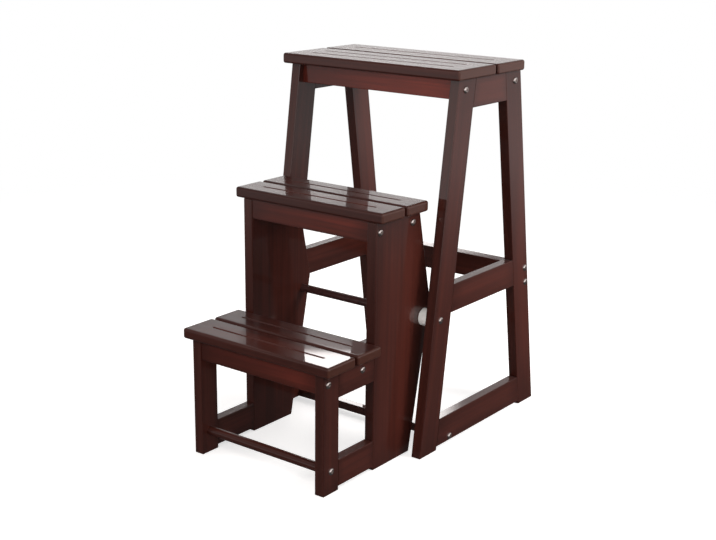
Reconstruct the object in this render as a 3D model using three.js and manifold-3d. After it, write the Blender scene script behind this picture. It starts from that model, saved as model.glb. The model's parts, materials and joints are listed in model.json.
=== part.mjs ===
// Folding step stool of lacquered wood: a tall A-frame stool with a seat, and a unit of two steps
// that hangs on a rod between the side frames and swings over it, up and under the seat.
// Millimetres, +Z up. X runs along the seat, -Y is the front. The origin lies on the floor, in the
// middle of the stool's width and of its depth with the steps out.

import * as THREE from 'three';
import { mergeVertices } from 'three/addons/utils/BufferGeometryUtils.js';
import Module from 'manifold-3d';

const wasm = await Module();
wasm.setup();

// Driving dimensions of the whole stool
const stool_height = 650;
const second_step_height = 440;
const first_step_height = 222;

// Seat and step boards
const tread_thickness = 18;
const tread_edge_radius = 4;
const tread_corner_radius = 6;
const board_gap = 6;
const seat_end_overhang = 9;
const seat_front_overhang = 16;
const seat_depth = 206;
const seat_front_board_depth = 113;
const step_end_overhang = 15;
const second_tread_overhang = 4;
const second_tread_depth = 127;
const second_front_board_depth = 62;
const first_tread_depth = 136;
const first_front_board_depth = 69;

// Grooves routed along the boards
const groove_width = 5;
const groove_depth = 2.5;
const groove_end_margin = 35;
const groove_corner_radius = 2;
const seat_front_grooves = 2;
const narrow_board_grooves = 1;

// A-frame
const frame_width = 353;
const frame_floor_depth = 374;
const frame_top_depth = 191;
const front_leg_lean = 86;
const frame_board_width = 49;
const frame_board_thickness = 18;
const mid_rail_height = 241;
const rail_floor_gap = 6.5;
const apron_thickness = 18;
const apron_height = 34;
const seat_apron_setback = 9;
const stretcher_height = 46;
const stretcher_center_height = 253.5;
const stretcher_setback = 1;
const stretcher_bolt_spacing = 28;
const lower_bar_size = 15;
const lower_bar_distance = 89;

// Pivot between the A-frame and the step unit
const pivot_height = 235;
const pivot_distance = 50.5;
const pivot_rod_diameter = 14;
const spacer_diameter = 30;
const pivot_clearance = 0.4;

// Step unit
const unit_side_gap = 18;
const panel_thickness = 18;
const panel_apex_reach = 21;
const panel_apex_rise = 22.5;
const panel_apex_radius = 24;
const panel_top_setback = 3;
const panel_bottom_setback = 17.5;
const first_tread_reach = 222;
const first_tread_clearance = 1;
const step_leg_setback = 7.5;
const step_leg_width = 38;
const step_rail_width = 46;
const step_apron_setback = 2;
const second_rear_apron_setback = 11;
const first_rear_apron_setback = 21;
const step_stretcher_diameter = 16;
const step_stretcher_height = 38.5;
const bar_edge_radius = 2;

// Bolts and the clearances of holes and joints
const bolt_head_diameter = 12;
const bolt_head_height = 3.2;
const bolt_shank_diameter = 6;
const bolt_grip = 30;
const bolt_tip_chamfer = 1;
const socket_width = 4.6;
const socket_depth = 2;
const hole_clearance = 0.35;
const hole_end_clearance = 1;
const joint_gap = 0.3;

// How finely curves are cut, and how far a cutter runs past what it cuts
const corner_steps = 3;
const edge_steps = 2;
const apex_steps = 6;
const rod_sides = 32;
const bolt_sides = 16;
const socket_sides = 6;
const dome_steps = 4;
const cut_overrun = 2;

// Heights and places along Y that follow from the driving dimensions
const half_depth = (frame_floor_depth + first_tread_reach) / 2;
const front_toe_y = first_tread_reach - half_depth;
const rear_heel_y = half_depth;
const leg_top_z = stool_height - tread_thickness;
const second_under_z = second_step_height - tread_thickness;
const first_under_z = first_step_height - tread_thickness;

const rear_leg_lean = frame_floor_depth - frame_top_depth - front_leg_lean;
const front_leg_angle = Math.atan(front_leg_lean / leg_top_z);
const rear_leg_angle = Math.atan(rear_leg_lean / leg_top_z);
const front_leg_span = frame_board_width / Math.cos(front_leg_angle);
const rear_leg_span = frame_board_width / Math.cos(rear_leg_angle);
const frontEdgeY = (z) => front_toe_y + (front_leg_lean * z) / leg_top_z;
const frontInnerY = (z) => frontEdgeY(z) + front_leg_span;
const rearEdgeY = (z) => rear_heel_y - (rear_leg_lean * z) / leg_top_z;
const rearInnerY = (z) => rearEdgeY(z) - rear_leg_span;
const seat_front_y = frontEdgeY(leg_top_z) - seat_front_overhang;
const pivot_y = front_toe_y + pivot_distance;

const first_front_y = -half_depth;
const first_rear_y = first_front_y + first_tread_depth;
const panel_front_y = first_rear_y + first_tread_clearance;
const second_front_y = panel_front_y - second_tread_overhang;
const panel_top_rear_y = second_front_y + second_tread_depth - panel_top_setback;
const panel_bottom_rear_y = panel_top_rear_y - panel_bottom_setback;
const step_leg_front_y = first_front_y + step_leg_setback;
const step_leg_rear_y = step_leg_front_y + step_leg_width;

// Places along X
const frame_half = frame_width / 2;
const frame_inner = frame_half - frame_board_thickness;
const frame_mid_x = frame_half - frame_board_thickness / 2;
const frame_bar_length = 2 * frame_inner;
const unit_half = frame_inner - unit_side_gap;
const unit_mid_x = unit_half - panel_thickness / 2;
const unit_bar_length = 2 * (unit_half - panel_thickness);
const seat_width = frame_width + 2 * seat_end_overhang;
const step_tread_width = 2 * (unit_half + step_end_overhang);

// Middles of the cross members, as [y, z], where their bolts sit too
const half_apron = apron_thickness / 2;
const apronZ = (under_z) => under_z - apron_height / 2;
const seat_front_place = [frontEdgeY(leg_top_z) + seat_apron_setback + half_apron, apronZ(leg_top_z)];
const seat_rear_place = [rearEdgeY(leg_top_z) - seat_apron_setback - half_apron, apronZ(leg_top_z)];
const stretcher_place = [
  rearEdgeY(stretcher_center_height) - (stretcher_setback + half_apron) / Math.cos(rear_leg_angle),
  stretcher_center_height,
];
const lower_bar_place = [front_toe_y + lower_bar_distance, rail_floor_gap + lower_bar_size / 2];
const pivot_place = [pivot_y, pivot_height];
const second_front_place = [panel_front_y + step_apron_setback + half_apron, apronZ(second_under_z)];
const second_rear_place = [
  panel_top_rear_y - second_rear_apron_setback - half_apron,
  apronZ(second_under_z),
];
const first_front_place = [step_leg_front_y + step_apron_setback + half_apron, apronZ(first_under_z)];
const first_rear_place = [first_rear_y - first_rear_apron_setback - half_apron, apronZ(first_under_z)];
const step_stretcher_place = [(step_leg_front_y + step_leg_rear_y) / 2, step_stretcher_height];

// The rear stretcher leans with the rear legs and has two bolts at each end
const stretcherBoltPlace = (side) => [
  stretcher_place[0] - side * (stretcher_bolt_spacing / 2) * Math.sin(rear_leg_angle),
  stretcher_place[1] + side * (stretcher_bolt_spacing / 2) * Math.cos(rear_leg_angle),
];
const stretcher_upper_place = stretcherBoltPlace(1);
const stretcher_lower_place = stretcherBoltPlace(-1);

// Materials
const wood = new THREE.MeshStandardMaterial({ color: 0x40201a, roughness: 0.28, metalness: 0 });
const rod_paint = new THREE.MeshStandardMaterial({ color: 0x2a1613, roughness: 0.35, metalness: 0.3 });
const chrome = new THREE.MeshStandardMaterial({ color: 0xd9dadb, roughness: 0.15, metalness: 1 });
const nylon = new THREE.MeshStandardMaterial({ color: 0xf2f0ea, roughness: 0.5, metalness: 0 });

// Booleans between closed geometries
const toSolid = (geometry) => {
  const bare = geometry.clone();
  bare.deleteAttribute('normal');
  bare.deleteAttribute('uv');
  const merged = mergeVertices(bare);
  return new wasm.Manifold(new wasm.Mesh({
    numProp: 3,
    vertProperties: new Float32Array(merged.attributes.position.array),
    triVerts: new Uint32Array(merged.index.array),
  }));
};

const toGeometry = (solid) => {
  const mesh = solid.getMesh();
  const geometry = new THREE.BufferGeometry();
  geometry.setAttribute('position', new THREE.BufferAttribute(new Float32Array(mesh.vertProperties), 3));
  geometry.setIndex(new THREE.BufferAttribute(new Uint32Array(mesh.triVerts), 1));
  geometry.computeVertexNormals();
  return geometry;
};

const cutAll = (geometry, cutters) => toGeometry(cutters.reduce(
  (solid, cutter) => solid.subtract(toSolid(cutter)), toSolid(geometry)));

// An outline of [a, b] points whose corners are rounded, each by its own radius
const roundedShape = (points, radii) => {
  const shape = new THREE.Shape();
  points.forEach((point, i) => {
    const corner = new THREE.Vector2(...point);
    const before = new THREE.Vector2(...points[(i + points.length - 1) % points.length]).sub(corner);
    const after = new THREE.Vector2(...points[(i + 1) % points.length]).sub(corner);
    const half_angle = Math.acos(before.dot(after) / before.length() / after.length()) / 2;
    const run = radii[i] / Math.tan(half_angle);
    const start = corner.clone().addScaledVector(before.normalize(), run);
    const end = corner.clone().addScaledVector(after.normalize(), run);
    if (i === 0) {
      shape.moveTo(start.x, start.y);
    } else {
      shape.lineTo(start.x, start.y);
    }
    if (run > 0) {
      shape.quadraticCurveTo(corner.x, corner.y, end.x, end.y);
    }
  });
  shape.closePath();
  return shape;
};

const rectangle = (width, height) => [
  [-width / 2, -height / 2],
  [width / 2, -height / 2],
  [width / 2, height / 2],
  [-width / 2, height / 2],
];

const sameRadii = (points, radius) => points.map(() => radius);

// Turns an extrusion so that its outline lies in Y and Z and its thickness runs along X
const outline_to_side = new THREE.Matrix4().makeBasis(
  new THREE.Vector3(0, 1, 0), new THREE.Vector3(0, 0, 1), new THREE.Vector3(1, 0, 0));

// A flat piece with its outline in Y and Z, its thickness centred on x = 0
const sideBoard = (points, thickness, radii = sameRadii(points, 0), curve_steps = corner_steps) => {
  const shape = roundedShape(points, radii);
  return new THREE.ExtrudeGeometry(
    shape, { depth: thickness, bevelEnabled: false, curveSegments: curve_steps })
    .translate(0, 0, -thickness / 2)
    .applyMatrix4(outline_to_side);
};

// A bar along X with a rectangular section whose long edges are rounded
const crossBar = (length, depth, height) => {
  const points = rectangle(depth, height);
  return sideBoard(points, length, sameRadii(points, bar_edge_radius));
};

// A round rod along X, which also cuts round holes
const rodAlongX = (radius, length, round_sides) => new THREE.CylinderGeometry(
  radius, radius, length, round_sides).rotateZ(Math.PI / 2);

const boltHole = ([y, z], length) => rodAlongX(
  bolt_shank_diameter / 2 + hole_clearance, length, bolt_sides).translate(0, y, z);
const boltHoles = (places, thickness) => places.map((place) => boltHole(place, thickness + 2 * cut_overrun));

// Bores for bolts in both ends of a bar, at [y, z] places from its middle
const endBores = (places, length) => {
  const bore = bolt_grip + hole_end_clearance;
  const middle = (length - bore + cut_overrun) / 2;
  return places.flatMap((place) => [-1, 1].map(
    (side) => boltHole(place, bore + cut_overrun).translate(side * middle, 0, 0)));
};

// A bolt along X whose domed head stands on x = 0 and faces +X, with a hexagonal socket
const makeBolt = (through) => {
  const length = through + bolt_grip;
  const shank = bolt_shank_diameter / 2;
  const head = bolt_head_diameter / 2;
  const profile = [
    new THREE.Vector2(0, -length),
    new THREE.Vector2(shank - bolt_tip_chamfer, -length),
    new THREE.Vector2(shank, bolt_tip_chamfer - length),
    new THREE.Vector2(shank, 0),
  ];
  for (let i = 0; i < dome_steps; i += 1) {
    const turn = (Math.PI / 2) * (i / dome_steps);
    profile.push(new THREE.Vector2(head * Math.cos(turn), bolt_head_height * Math.sin(turn)));
  }
  profile.push(new THREE.Vector2(0, bolt_head_height));
  const socket_radius = socket_width / 2 / Math.cos(Math.PI / socket_sides);
  const socket = new THREE.CylinderGeometry(
    socket_radius, socket_radius, socket_depth + cut_overrun, socket_sides)
    .translate(0, bolt_head_height + (cut_overrun - socket_depth) / 2, 0);
  return cutAll(new THREE.LatheGeometry(profile, bolt_sides), [socket]).rotateZ(-Math.PI / 2);
};

// The scene graph: the A-frame, and the step unit in a group of its own whose origin is the pivot
const stool = new THREE.Group();
const step_unit = new THREE.Group();
step_unit.position.set(0, pivot_y, pivot_height);
stool.add(step_unit);

const sides = [['left', -1], ['right', 1]];

const makeMesh = (name, geometry, material) => {
  const mesh = new THREE.Mesh(geometry, material);
  mesh.name = name;
  return mesh;
};

const addFrame = (name, geometry, material, x, y, z) => {
  const mesh = makeMesh(name, geometry, material);
  mesh.position.set(x, y, z);
  stool.add(mesh);
};

// A step piece's place is given in the whole stool's frame and kept relative to the pivot
const addStep = (name, geometry, material, x, y, z) => {
  const mesh = makeMesh(name, geometry, material);
  mesh.position.set(x, y - pivot_y, z - pivot_height);
  step_unit.add(mesh);
};

// One bolt at each side, through legs or panels of the given thickness into the bar between them
const addBoltPair = (add, name, [y, z], half, through) => {
  for (const [side_name, side] of sides) {
    const bolt = makeBolt(through);
    if (side < 0) {
      bolt.rotateZ(Math.PI);
    }
    add(`${side_name}_${name}_bolt`, bolt, chrome, side * half, y, z);
  }
};

// Legs and rails of the two side frames
const addSideFrame = (side_name, x) => {
  const front_leg = [
    [frontEdgeY(0), 0],
    [frontInnerY(0), 0],
    [frontInnerY(leg_top_z), leg_top_z],
    [frontEdgeY(leg_top_z), leg_top_z],
  ];
  const rear_leg = [
    [rearInnerY(0), 0],
    [rearEdgeY(0), 0],
    [rearEdgeY(leg_top_z), leg_top_z],
    [rearInnerY(leg_top_z), leg_top_z],
  ];
  const front_holes = boltHoles([seat_front_place, pivot_place], frame_board_thickness);
  const rear_holes = boltHoles(
    [seat_rear_place, stretcher_upper_place, stretcher_lower_place], frame_board_thickness);
  const addLeg = (name, points, holes) => {
    const leg = cutAll(sideBoard(points, frame_board_thickness), holes);
    addFrame(`${side_name}_${name}`, leg, wood, x, 0, 0);
  };
  addLeg('front_leg', front_leg, front_holes);
  addLeg('rear_leg', rear_leg, rear_holes);

  const addRail = (band_name, bottom, holes) => {
    const top = bottom + frame_board_width;
    const points = [
      [frontInnerY(bottom) + joint_gap, bottom],
      [rearInnerY(bottom) - joint_gap, bottom],
      [rearInnerY(top) - joint_gap, top],
      [frontInnerY(top) + joint_gap, top],
    ];
    const rail = cutAll(sideBoard(points, frame_board_thickness), holes);
    addFrame(`${side_name}_${band_name}_rail`, rail, wood, x, 0, 0);
  };
  addRail('top', leg_top_z - frame_board_width, []);
  addRail('mid', mid_rail_height, []);
  addRail('bottom', rail_floor_gap, boltHoles([lower_bar_place], frame_board_thickness));
};

for (const [side_name, side] of sides) {
  addSideFrame(side_name, side * frame_mid_x);
}

// Boards of the seat and of the steps: rounded edges, and grooves that stop short of the ends
const makeGroove = (length) => {
  const points = rectangle(length, groove_width);
  return new THREE.ExtrudeGeometry(
    roundedShape(points, sameRadii(points, groove_corner_radius)),
    { depth: groove_depth + cut_overrun, bevelEnabled: false, curveSegments: corner_steps });
};

const makeTreadBoard = (width, depth, groove_count) => {
  const points = rectangle(width, depth);
  const blank = new THREE.ExtrudeGeometry(roundedShape(points, sameRadii(points, tread_corner_radius)), {
    depth: tread_thickness - 2 * tread_edge_radius,
    bevelThickness: tread_edge_radius,
    bevelSize: tread_edge_radius,
    bevelOffset: -tread_edge_radius,
    bevelSegments: edge_steps,
    curveSegments: corner_steps,
  }).translate(0, 0, tread_edge_radius);
  const grooves = [];
  for (let i = 1; i <= groove_count; i += 1) {
    const y = depth * (i / (groove_count + 1)) - depth / 2;
    grooves.push(makeGroove(width - 2 * groove_end_margin).translate(0, y, tread_thickness - groove_depth));
  }
  return cutAll(blank, grooves);
};

// A tread is a front board and a rear board with a gap between them
const addTread = (add, name, width, front_y, depth, front_depth, front_grooves, under_z) => {
  const rear_depth = depth - front_depth - board_gap;
  add(
    `${name}_front_board`, makeTreadBoard(width, front_depth, front_grooves), wood,
    0, front_y + front_depth / 2, under_z);
  add(
    `${name}_rear_board`, makeTreadBoard(width, rear_depth, narrow_board_grooves), wood,
    0, front_y + depth - rear_depth / 2, under_z);
};

addTread(
  addFrame, 'seat', seat_width, seat_front_y, seat_depth,
  seat_front_board_depth, seat_front_grooves, leg_top_z);
addTread(
  addStep, 'second', step_tread_width, second_front_y, second_tread_depth,
  second_front_board_depth, narrow_board_grooves, second_under_z);
addTread(
  addStep, 'first', step_tread_width, first_front_y, first_tread_depth,
  first_front_board_depth, narrow_board_grooves, first_under_z);

// Cross members of the A-frame
const makeApron = (length) => cutAll(
  crossBar(length, apron_thickness, apron_height), endBores([[0, 0]], length));
const makeLowerBar = () => cutAll(
  crossBar(frame_bar_length, lower_bar_size, lower_bar_size), endBores([[0, 0]], frame_bar_length));

const makeRearStretcher = () => {
  const places = [-1, 1].map((side) => [0, (side * stretcher_bolt_spacing) / 2]);
  const board = crossBar(frame_bar_length, apron_thickness, stretcher_height);
  return cutAll(board, endBores(places, frame_bar_length)).rotateX(rear_leg_angle);
};

addFrame('seat_front_apron', makeApron(frame_bar_length), wood, 0, ...seat_front_place);
addFrame('seat_rear_apron', makeApron(frame_bar_length), wood, 0, ...seat_rear_place);
addFrame('rear_stretcher', makeRearStretcher(), wood, 0, ...stretcher_place);
addFrame('lower_bar', makeLowerBar(), wood, 0, ...lower_bar_place);

// Pivot rod, and the spacers that keep the step unit midway between the side frames
const makeRoundBar = (diameter, length) => cutAll(
  rodAlongX(diameter / 2, length, rod_sides), endBores([[0, 0]], length));
const makeSpacer = (length) => cutAll(
  rodAlongX(spacer_diameter / 2, length, rod_sides),
  [rodAlongX(pivot_rod_diameter / 2 + hole_clearance, length + 2 * cut_overrun, rod_sides)]);

addFrame('pivot_rod', makeRoundBar(pivot_rod_diameter, frame_bar_length), rod_paint, 0, ...pivot_place);
const spacer_inner = unit_half + pivot_clearance;
for (const [side_name, side] of sides) {
  const middle = (frame_inner + spacer_inner) / 2;
  const spacer = makeSpacer(frame_inner - spacer_inner);
  addFrame(`${side_name}_spacer`, spacer, nylon, side * middle, ...pivot_place);
}

addBoltPair(addFrame, 'seat_front', seat_front_place, frame_half, frame_board_thickness);
addBoltPair(addFrame, 'seat_rear', seat_rear_place, frame_half, frame_board_thickness);
addBoltPair(addFrame, 'stretcher_upper', stretcher_upper_place, frame_half, frame_board_thickness);
addBoltPair(addFrame, 'stretcher_lower', stretcher_lower_place, frame_half, frame_board_thickness);
addBoltPair(addFrame, 'lower_bar', lower_bar_place, frame_half, frame_board_thickness);
addBoltPair(addFrame, 'pivot', pivot_place, frame_half, frame_board_thickness);

// Side panels of the step unit, with the legs and rails of the first step on their front edges
const addStepSide = (side_name, x) => {
  const panel_outline = [
    [panel_front_y, 0],
    [panel_bottom_rear_y, 0],
    [pivot_y + panel_apex_reach, pivot_height + panel_apex_rise],
    [panel_top_rear_y, second_under_z],
    [panel_front_y, second_under_z],
  ];
  const panel_radii = [0, 0, panel_apex_radius, 0, 0];
  const pivot_hole = rodAlongX(
    pivot_rod_diameter / 2 + pivot_clearance, panel_thickness + 2 * cut_overrun, rod_sides)
    .translate(0, ...pivot_place);
  const panel = cutAll(
    sideBoard(panel_outline, panel_thickness, panel_radii, apex_steps),
    [pivot_hole, ...boltHoles([second_front_place, second_rear_place], panel_thickness)]);
  addStep(`${side_name}_panel`, panel, wood, x, 0, 0);

  const addBlock = (name, front_y, rear_y, bottom, top, hole_places) => {
    const points = [
      [front_y, bottom],
      [rear_y, bottom],
      [rear_y, top],
      [front_y, top],
    ];
    const block = cutAll(sideBoard(points, panel_thickness), boltHoles(hole_places, panel_thickness));
    addStep(`${side_name}_${name}`, block, wood, x, 0, 0);
  };
  const rail_front_y = step_leg_rear_y + joint_gap;
  const rail_rear_y = panel_front_y - joint_gap;
  addBlock(
    'step_leg', step_leg_front_y, step_leg_rear_y, 0, first_under_z,
    [first_front_place, step_stretcher_place]);
  addBlock(
    'upper_rail', rail_front_y, rail_rear_y, first_under_z - step_rail_width, first_under_z,
    [first_rear_place]);
  addBlock(
    'lower_rail', rail_front_y, rail_rear_y, rail_floor_gap, rail_floor_gap + step_rail_width, []);
};

for (const [side_name, side] of sides) {
  addStepSide(side_name, side * unit_mid_x);
}

// Cross members of the step unit
addStep('second_front_apron', makeApron(unit_bar_length), wood, 0, ...second_front_place);
addStep('second_rear_apron', makeApron(unit_bar_length), wood, 0, ...second_rear_place);
addStep('first_front_apron', makeApron(unit_bar_length), wood, 0, ...first_front_place);
addStep('first_rear_apron', makeApron(unit_bar_length), wood, 0, ...first_rear_place);
addStep(
  'step_stretcher', makeRoundBar(step_stretcher_diameter, unit_bar_length), wood, 0, ...step_stretcher_place);

addBoltPair(addStep, 'second_front', second_front_place, unit_half, panel_thickness);
addBoltPair(addStep, 'second_rear', second_rear_place, unit_half, panel_thickness);
addBoltPair(addStep, 'first_front', first_front_place, unit_half, panel_thickness);
addBoltPair(addStep, 'first_rear', first_rear_place, unit_half, panel_thickness);
addBoltPair(addStep, 'step_stretcher', step_stretcher_place, unit_half, panel_thickness);

export default stool;
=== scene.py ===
"""A folding step stool of lacquered wood, dressed as finished boards, rods and bolts.

Metres, +Z up. X runs along the seat and -Y is the front. Each surface is worked out with numpy, as a section
carried along a board or a profile turned about an axis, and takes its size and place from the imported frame.
"""

from __future__ import annotations

import json
import logging
import math
from collections.abc import Callable, Sequence
from dataclasses import dataclass, field, replace
from enum import Enum
from typing import Any

import bmesh
import bpy
import numpy as np
from mathutils import Matrix, Vector

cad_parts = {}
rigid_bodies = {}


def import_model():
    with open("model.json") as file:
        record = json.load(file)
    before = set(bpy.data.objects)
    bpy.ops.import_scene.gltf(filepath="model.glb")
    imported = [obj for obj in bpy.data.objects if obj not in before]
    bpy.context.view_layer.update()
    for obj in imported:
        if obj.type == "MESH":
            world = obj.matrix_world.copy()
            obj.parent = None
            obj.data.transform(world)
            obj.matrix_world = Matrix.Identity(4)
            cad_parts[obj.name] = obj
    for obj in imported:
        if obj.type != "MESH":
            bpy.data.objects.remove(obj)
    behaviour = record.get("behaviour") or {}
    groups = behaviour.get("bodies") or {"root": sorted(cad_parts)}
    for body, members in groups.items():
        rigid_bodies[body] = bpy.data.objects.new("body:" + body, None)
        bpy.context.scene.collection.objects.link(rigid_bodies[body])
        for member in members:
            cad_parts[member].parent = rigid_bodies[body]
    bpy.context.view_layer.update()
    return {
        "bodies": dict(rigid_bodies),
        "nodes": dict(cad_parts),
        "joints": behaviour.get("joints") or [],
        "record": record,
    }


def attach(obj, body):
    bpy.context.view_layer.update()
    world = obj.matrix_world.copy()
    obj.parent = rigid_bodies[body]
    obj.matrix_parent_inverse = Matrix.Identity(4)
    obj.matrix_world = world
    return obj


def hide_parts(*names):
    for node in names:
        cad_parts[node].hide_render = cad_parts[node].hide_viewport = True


LOG = logging.getLogger("step_stool")
MM = 0.001
SIDES = ("left", "right")
SHARP_ANGLE = math.radians(40)
GRAIN_SEED = 11
GRAIN_SPREAD = 8.0
LACQUER_IOR = 1.5
WHITE = (1.0, 1.0, 1.0)

# How often each layer of the wood repeats in a metre along, across and through the board
FIGURE_SCALE = (1.2, 14.0, 14.0)
STREAK_SCALE = (3.0, 160.0, 160.0)
PORE_SCALE = (45.0, 1300.0, 1300.0)
RING_SCALE = (0.0, 60.0, 150.0)

Colour = tuple[float, float, float]
Edge = tuple[float, float]
Place = Callable[[np.ndarray], np.ndarray]
Feed = float | Sequence[float] | bpy.types.NodeSocket


def srgb(red: int, green: int, blue: int) -> Colour:
    """Gives the linear value of a colour written from 0 to 255 a channel."""
    share = np.array([red, green, blue]) / 255
    return tuple(np.where(share <= 0.04045, share / 12.92, ((share + 0.055) / 1.055) ** 2.4).tolist())


class Slot(Enum):
    """The record's material slots."""

    WOOD = "lacquered_wood"
    ROD = "rod_paint"
    CHROME = "bolt_chrome"
    NYLON = "nylon"


@dataclass
class Shell:
    """A closed surface as arrays.

    Attributes:
        points: Vertex places, one row each.
        faces: Vertex numbers of each face.
        normals: A unit normal for each vertex, or None where the angles between faces set the shading.
        grain: Place along, across and through the board, one row for each vertex.
        ends: How far each vertex shows end grain, from 0 to 1.
    """

    points: np.ndarray
    faces: list[list[int]]
    normals: np.ndarray | None
    grain: np.ndarray
    ends: np.ndarray

    @property
    def span(self) -> np.ndarray:
        """Gives the grain places as shares of the piece's half size, from -1 to 1."""
        low, high = self.grain.min(axis=0), self.grain.max(axis=0)
        return (2 * self.grain - low - high) / (high - low)


def grid_faces(rows: int, columns: int, rows_close: bool = False) -> list[list[int]]:
    """Lists the quads between neighbouring rings of a grid whose columns close around.

    Args:
        rows: Number of rings.
        columns: Number of points on each ring.
        rows_close: Whether the last ring joins the first.

    Returns:
        Four vertex numbers for each quad.
    """
    row = np.arange(rows if rows_close else rows - 1)[:, None]
    column = np.arange(columns)[None, :]
    after_row = (row + 1) % rows
    after_column = (column + 1) % columns
    quads = [row * columns + column, row * columns + after_column,
             after_row * columns + after_column, after_row * columns + column]
    return np.stack(np.broadcast_arrays(*quads), axis=-1).reshape(-1, 4).tolist()


def capped_faces(rows: int, columns: int) -> list[list[int]]:
    """Lists the quads of an open tube and a flat face over each of its ends."""
    ring = np.arange(columns)
    return grid_faces(rows, columns) + [ring[::-1].tolist(), (ring + (rows - 1) * columns).tolist()]


def stacked(first: np.ndarray, rest: np.ndarray) -> np.ndarray:
    """Puts one value for each ring before the other two axes of its points."""
    return np.concatenate([np.broadcast_to(first[:, None, None], (*rest.shape[:2], 1)), rest], axis=-1)


def moved(shell: Shell, step: np.ndarray) -> Shell:
    """Moves a shell without a turn, which leaves its normals as they are."""
    return replace(shell, points=shell.points + step)


def carried(shell: Shell, place: Place) -> Shell:
    """Carries a shell from its own axes to its place, and its normals with it.

    The normals turn by the inverse transpose of the mapping's slope, which is measured by small steps.

    Args:
        shell: The shell in its own axes.
        place: Maps rows of points to the frame.

    Returns:
        The shell in place.
    """
    step = 0.01 * MM
    slopes = [(place(shell.points + step * axis) - place(shell.points - step * axis)) / (2 * step)
              for axis in np.eye(3)]
    normals = shell.normals
    if normals is not None:
        jacobian = np.stack(slopes, axis=-1)
        normals = np.linalg.solve(jacobian.transpose(0, 2, 1), normals[..., None])[..., 0]
        normals = normals / np.linalg.norm(normals, axis=1, keepdims=True)
    return replace(shell, points=place(shell.points), normals=normals)


def rounded_outline(corners: Sequence[Sequence[float]], radii: Sequence[float],
                    steps: int) -> tuple[np.ndarray, np.ndarray, np.ndarray]:
    """Rounds the corners of a convex outline that runs anticlockwise.

    Each corner becomes an arc about a centre that lies inside it by its radius over the sine of half its
    angle. A point of the outline is its centre plus its radius times its direction, so a smaller radius gives
    the same outline drawn in.

    Args:
        corners: The outline's corners.
        radii: A radius for each corner.
        steps: Number of stretches in each arc.

    Returns:
        Centre, radius and direction of every point.
    """
    corner = np.asarray(corners, float)
    radius = np.asarray(radii, float)
    into = corner - np.roll(corner, 1, axis=0)
    out = np.roll(corner, -1, axis=0) - corner
    start = np.arctan2(-into[:, 0], into[:, 1])
    turn = (np.arctan2(-out[:, 0], out[:, 1]) - start) % (2 * np.pi)
    reach = radius / np.cos(turn / 2)
    middle = start + turn / 2
    centre = corner - reach[:, None] * np.stack([np.cos(middle), np.sin(middle)], axis=-1)
    angle = start[:, None] + turn[:, None] * np.linspace(0, 1, steps + 1)
    direction = np.stack([np.cos(angle), np.sin(angle)], axis=-1).reshape(-1, 2)
    return np.repeat(centre, steps + 1, axis=0), np.repeat(radius, steps + 1), direction


@dataclass(frozen=True)
class Groove:
    """A shallow groove along a board.

    Attributes:
        offset: Place of its middle line across the board.
        reach: Half the length of its middle line.
        radius: Half its width.
        depth: Its depth in the middle.
        steps: Number of stretches from its middle line to its edge.
    """

    offset: float
    reach: float
    radius: float
    depth: float
    steps: int = 6

    def drop(self, along: np.ndarray, across: np.ndarray) -> np.ndarray:
        """Gives the depth as a squared cosine of the distance from the middle line.

        Args:
            along: Places along the board.
            across: Places across it.

        Returns:
            The depth at each place.
        """
        beyond = np.maximum(np.abs(along) - self.reach, 0)
        share = np.clip(np.hypot(beyond, across - self.offset) / self.radius, 0, 1)
        return self.depth * np.cos(share * np.pi / 2) ** 2

    def lines_across(self) -> np.ndarray:
        """Places across the board where its section needs a point."""
        return self.offset + self.radius * np.linspace(-1, 1, 2 * self.steps + 1)

    def lines_along(self) -> np.ndarray:
        """Places along the board where its round ends need a ring."""
        end = self.reach + self.radius * np.linspace(0, 1, self.steps + 1)
        return np.concatenate([-end, end])


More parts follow.
